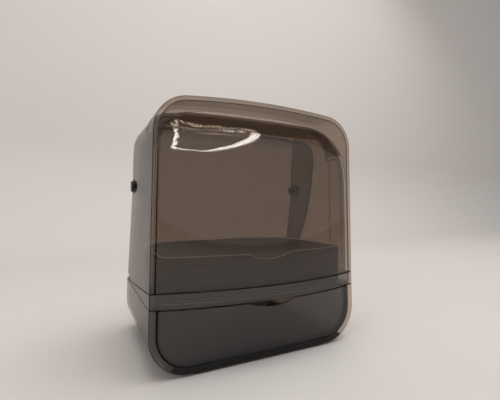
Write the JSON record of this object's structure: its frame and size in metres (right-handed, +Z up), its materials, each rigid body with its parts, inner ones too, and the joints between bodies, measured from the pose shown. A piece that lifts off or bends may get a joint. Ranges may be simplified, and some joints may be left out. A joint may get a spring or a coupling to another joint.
{
  "type": "brush holder with drawer",
  "caption": "Smoked translucent vanity case with a domed flip-up cover and carrying arch, a lift-out brush tray under it and a bowed drawer below.",
  "frame": {"origin": "centre of the bounding box's underside, on the table", "axes": "+Z up, -Y out of the drawer's front, +X to the right as seen from the front"},
  "size_m": [0.2738, 0.218, 0.3065],
  "materials": {
    "smoke_case": "smoked translucent, glossy",
    "smoke_cover": "smoked translucent, glossy",
    "smoke_drawer": "smoked translucent, glossy",
    "smoke_tray": "smoked translucent, glossy",
    "dark_plate": "dark, fine texture",
    "foot_rubber": "matt",
    "pivot_dark": "dark, satin",
    "washer_nylon": "natural nylon",
    "screw_steel": "plated"
  },
  "bodies": {
    "case": {"base_shell": "smoke_case", "foot_plate": "dark_plate", "deck": "smoke_case", "rear_shell": "smoke_case", "case_screws": "screw_steel", "foot_front_left": "foot_rubber", "foot_front_right": "foot_rubber", "foot_rear_left": "foot_rubber", "foot_rear_right": "foot_rubber", "drawer_runner_left": "smoke_case", "drawer_runner_right": "smoke_case", "pivot_pin_left": "pivot_dark", "pivot_pin_right": "pivot_dark", "pivot_washer_left": "washer_nylon", "pivot_washer_right": "washer_nylon", "pivot_cap_left": "pivot_dark", "pivot_cap_right": "pivot_dark"},
    "cover": {"cover": "smoke_cover"},
    "drawer": {"drawer_box": "smoke_drawer", "drawer_front": "smoke_drawer"},
    "tray": {"brush_tray": "smoke_tray"}
  },
  "joints": [
    {"name": "cover_flip", "type": "hinge", "parent": "case", "child": "cover", "pos_m": [0, 0.04, 0.21], "axis": [-1, 0, 0], "range_deg": [0, 100]},
    {"name": "drawer_slide", "type": "slide", "parent": "case", "child": "drawer", "axis": [0, -1, 0], "range_m": [0, 0.145]},
    {"name": "tray_lift", "type": "slide", "parent": "case", "child": "tray", "axis": [0, 0, 1], "range_m": [0, 0.024]}
  ]
}
